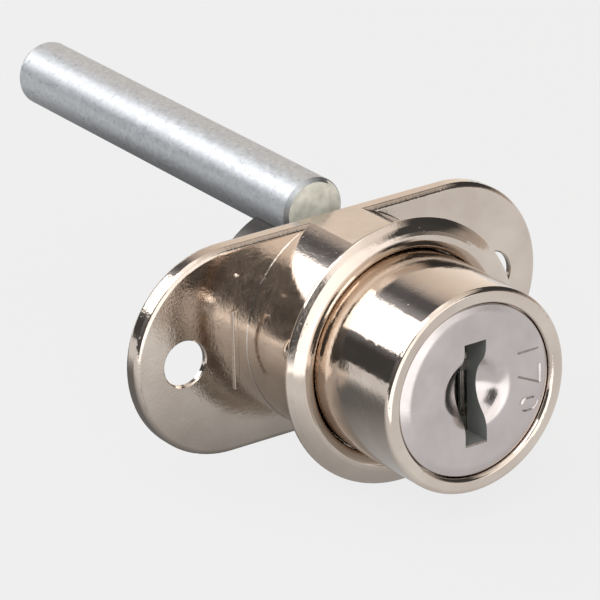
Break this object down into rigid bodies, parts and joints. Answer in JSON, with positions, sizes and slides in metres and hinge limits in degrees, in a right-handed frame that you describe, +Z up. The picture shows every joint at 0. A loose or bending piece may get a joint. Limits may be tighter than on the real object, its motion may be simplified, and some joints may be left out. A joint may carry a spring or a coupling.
{
  "type": "pedestal lock",
  "caption": "Push-type pedestal lock: keyed plunger in a flared barrel on an oval screw-on plate, with an eccentric locking rod at the back.",
  "frame": {"origin": "lock axis where it meets the front face of the mounting plate, midway between the two screw holes", "axes": "+Y along the lock axis to the back, the way the knob is pushed; -Y is the keyed front; +X along the oval plate; +Z up, towards the locking rod"},
  "size_m": [0.0418, 0.0673, 0.0236],
  "materials": {
    "bright_nickel": "bright nickel plate on zinc die-casting",
    "satin_nickel": "satin nickel plate",
    "zinc_plated_steel": "bluish zinc plate on steel bar",
    "hardened_steel": "plain steel stamping",
    "spring_steel": "dark spring steel",
    "nickel_silver": "plain nickel silver stamping"
  },
  "bodies": {
    "housing": {"housing": "bright_nickel", "trim_collar": "bright_nickel", "return_spring": "spring_steel"},
    "plunger": {"plunger": "bright_nickel", "locking_rod": "zinc_plated_steel", "rod_pin": "spring_steel", "retaining_ring": "spring_steel", "plug_snap_ring": "spring_steel", "latch_spring": "spring_steel"},
    "plug": {"key_plug": "satin_nickel", "wafer_spring_1": "spring_steel", "wafer_spring_2": "spring_steel", "wafer_spring_3": "spring_steel", "wafer_spring_4": "spring_steel", "wafer_spring_5": "spring_steel"},
    "latch": {"latch_bolt": "hardened_steel"},
    "wafer_1": {"wafer_1": "nickel_silver"},
    "wafer_2": {"wafer_2": "nickel_silver"},
    "wafer_3": {"wafer_3": "nickel_silver"},
    "wafer_4": {"wafer_4": "nickel_silver"},
    "wafer_5": {"wafer_5": "nickel_silver"}
  },
  "joints": [
    {"name": "plunger_slide", "type": "slide", "parent": "housing", "child": "plunger", "axis": [0, 1, 0], "range_m": [0, 0.0055], "stiffness_N_per_m": 800, "springref_m": -0.005, "deforming": ["return_spring"]},
    {"name": "plug_turn", "type": "hinge", "parent": "plunger", "child": "plug", "pos_m": [0, 0, 0], "axis": [0, -1, 0], "range_deg": [-90, 0]},
    {"name": "latch_slide", "type": "slide", "parent": "plunger", "child": "latch", "axis": [0.8572, 0, 0.515], "range_m": [0, 0.00075], "deforming": ["latch_spring"]},
    {"name": "wafer_1_slide", "type": "slide", "parent": "plug", "child": "wafer_1", "axis": [0, 0, 1], "range_m": [0, 0.0009], "deforming": ["wafer_spring_1"]},
    {"name": "wafer_2_slide", "type": "slide", "parent": "plug", "child": "wafer_2", "axis": [0, 0, 1], "range_m": [0, 0.0009], "deforming": ["wafer_spring_2"]},
    {"name": "wafer_3_slide", "type": "slide", "parent": "plug", "child": "wafer_3", "axis": [0, 0, 1], "range_m": [0, 0.0009], "deforming": ["wafer_spring_3"]},
    {"name": "wafer_4_slide", "type": "slide", "parent": "plug", "child": "wafer_4", "axis": [0, 0, 1], "range_m": [0, 0.0009], "deforming": ["wafer_spring_4"]},
    {"name": "wafer_5_slide", "type": "slide", "parent": "plug", "child": "wafer_5", "axis": [0, 0, 1], "range_m": [0, 0.0009], "deforming": ["wafer_spring_5"]}
  ]
}
